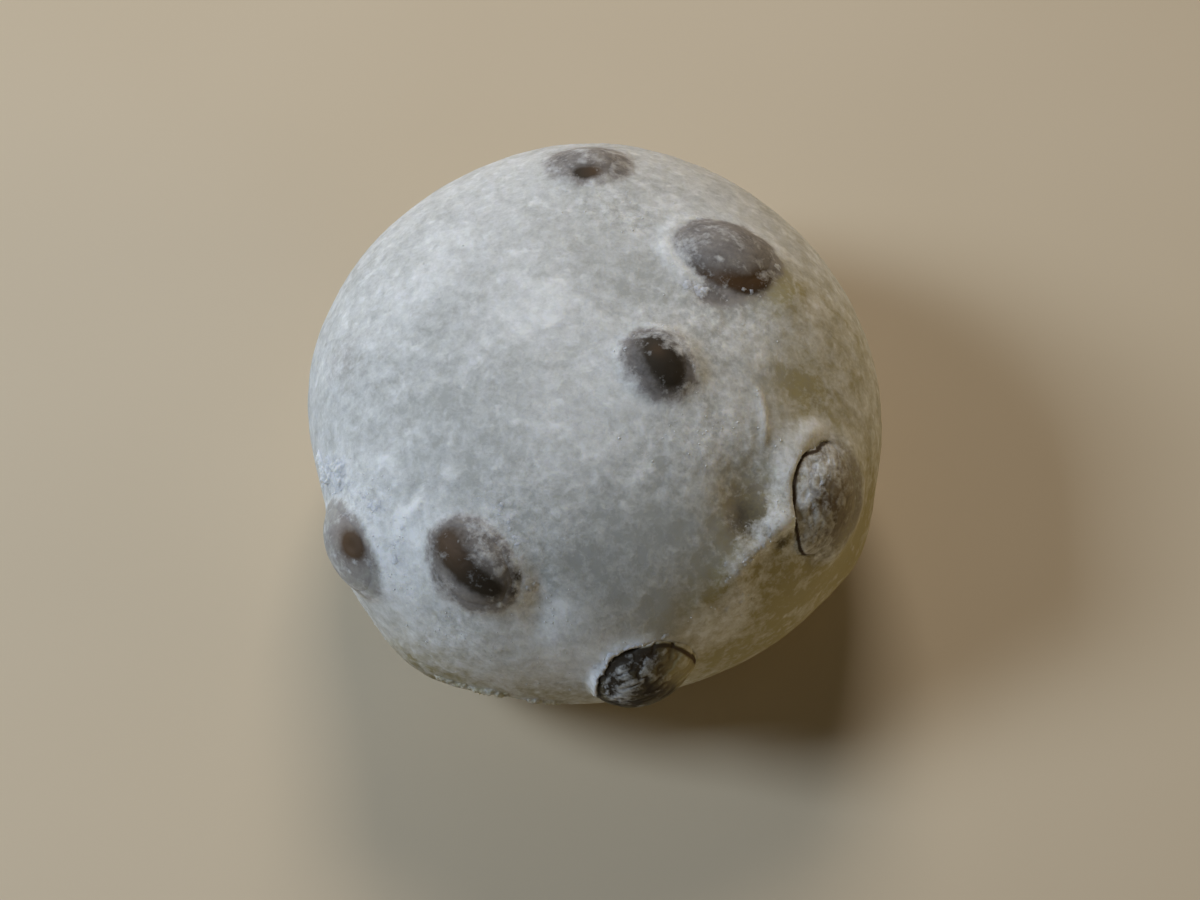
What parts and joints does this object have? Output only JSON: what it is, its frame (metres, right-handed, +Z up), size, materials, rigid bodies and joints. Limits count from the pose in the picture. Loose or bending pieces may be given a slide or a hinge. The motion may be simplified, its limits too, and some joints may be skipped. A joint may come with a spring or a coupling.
{
  "type": "mochi rice cake",
  "caption": "Round soft rice cake (bean daifuku) on a flat foot, dusted with starch, with dark cooked beans standing in torn sockets in its skin. It rests on any flat surface.",
  "frame": {"origin": "middle of the flat foot, on the surface that the cake rests on", "axes": "+Z up through the crown; -Y towards the side with the front bean; +X to the right as seen from there"},
  "size_m": [0.0563, 0.0614, 0.036],
  "materials": {
    "rice_skin": "matte",
    "bean_skin": "satin"
  },
  "bodies": {
    "root": {"mochi": "rice_skin", "bean_top_back": "bean_skin", "bean_top_right": "bean_skin", "bean_top": "bean_skin", "bean_right": "bean_skin", "bean_front": "bean_skin", "bean_front_left": "bean_skin", "bean_left": "bean_skin", "bean_rear_left": "bean_skin", "bean_rear": "bean_skin", "bean_rear_right": "bean_skin"}
  },
  "joints": []
}
